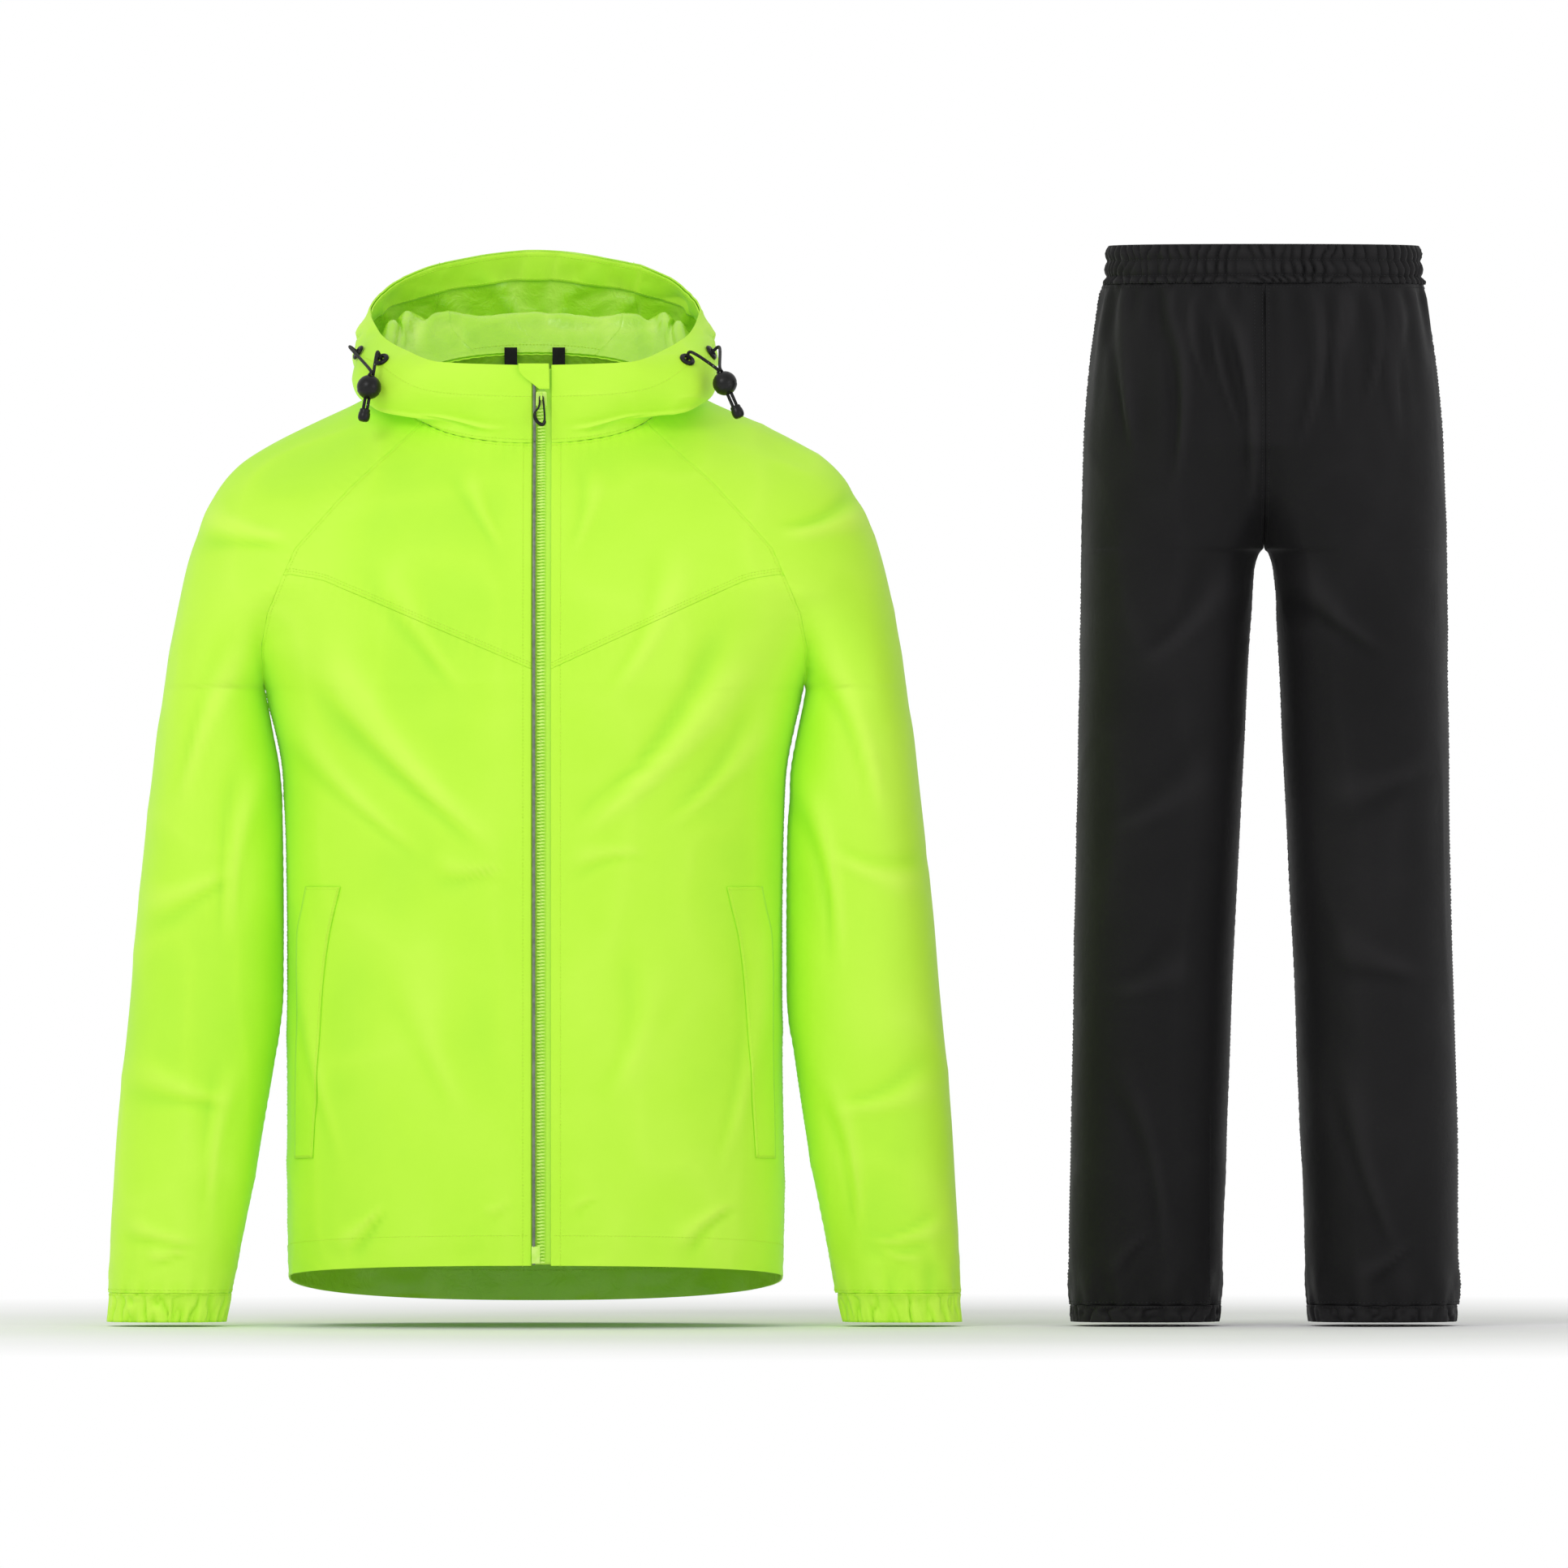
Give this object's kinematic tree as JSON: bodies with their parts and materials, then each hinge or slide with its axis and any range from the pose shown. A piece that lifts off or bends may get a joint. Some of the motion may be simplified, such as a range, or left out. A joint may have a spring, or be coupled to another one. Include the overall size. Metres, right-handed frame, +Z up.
{
  "type": "rain suit",
  "caption": "Rain suit, filled out and hollow: a hooded raglan jacket with a front zip, gathered cuffs and drawcords, beside straight trousers with a gathered elastic waist.",
  "frame": {"origin": "inside the jacket between the shoulders, just below the neck, in the middle of its width and depth; the picture's row of jacket (left) and trousers (right) is kept", "axes": "+X across the set towards the trousers, -Y the front of both garments, +Z up"},
  "size_m": [1.165, 0.3377, 0.9275],
  "materials": {
    "neon_cloth": "matt coated weave, neon yellow-green",
    "neon_coating": "smooth satin coating",
    "neon_teeth": "satin moulded teeth",
    "grey_reflective": "grey reflective piping",
    "black_cloth": "matt coated weave, black",
    "black_trim": "satin black plastic, cord and tape"
  },
  "bodies": {
    "suit": {"cord_end_left": "black_trim", "cord_end_right": "black_trim", "cord_lock_left": "black_trim", "cord_lock_right": "black_trim", "drawcord_left_front": "black_trim", "drawcord_left_rear": "black_trim", "drawcord_right_front": "black_trim", "drawcord_right_rear": "black_trim", "eyelet_left_front": "black_trim", "eyelet_left_rear": "black_trim", "eyelet_right_front": "black_trim", "eyelet_right_rear": "black_trim", "hanger_loop": "black_trim", "hood_centre": "neon_cloth", "hood_facing": "neon_coating", "hood_side_left": "neon_cloth", "hood_side_right": "neon_cloth", "jacket_back": "neon_cloth", "jacket_cuff_left": "neon_cloth", "jacket_cuff_right": "neon_cloth", "jacket_front_left": "neon_cloth", "jacket_front_right": "neon_cloth", "jacket_sleeve_left": "neon_cloth", "jacket_sleeve_right": "neon_cloth", "jacket_yoke_left": "neon_cloth", "jacket_yoke_right": "neon_cloth", "pocket_flap_left": "neon_cloth", "pocket_flap_right": "neon_cloth", "reflective_piping": "grey_reflective", "trousers_back_left": "black_cloth", "trousers_back_right": "black_cloth", "trousers_front_left": "black_cloth", "trousers_front_right": "black_cloth", "trousers_hem_left": "black_cloth", "trousers_hem_right": "black_cloth", "trousers_waistband": "black_cloth", "zip_garage": "neon_cloth", "zip_slider": "black_trim", "zip_tape": "neon_cloth", "zip_teeth": "neon_teeth"},
    "pull": {"zip_pull": "black_trim"}
  },
  "joints": [
    {"name": "zip_pull_swing", "type": "hinge", "parent": "suit", "child": "pull", "pos_m": [0.0064, -0.09399, 0.015], "axis": [-1, 0, 0], "range_deg": [0, 110]}
  ]
}
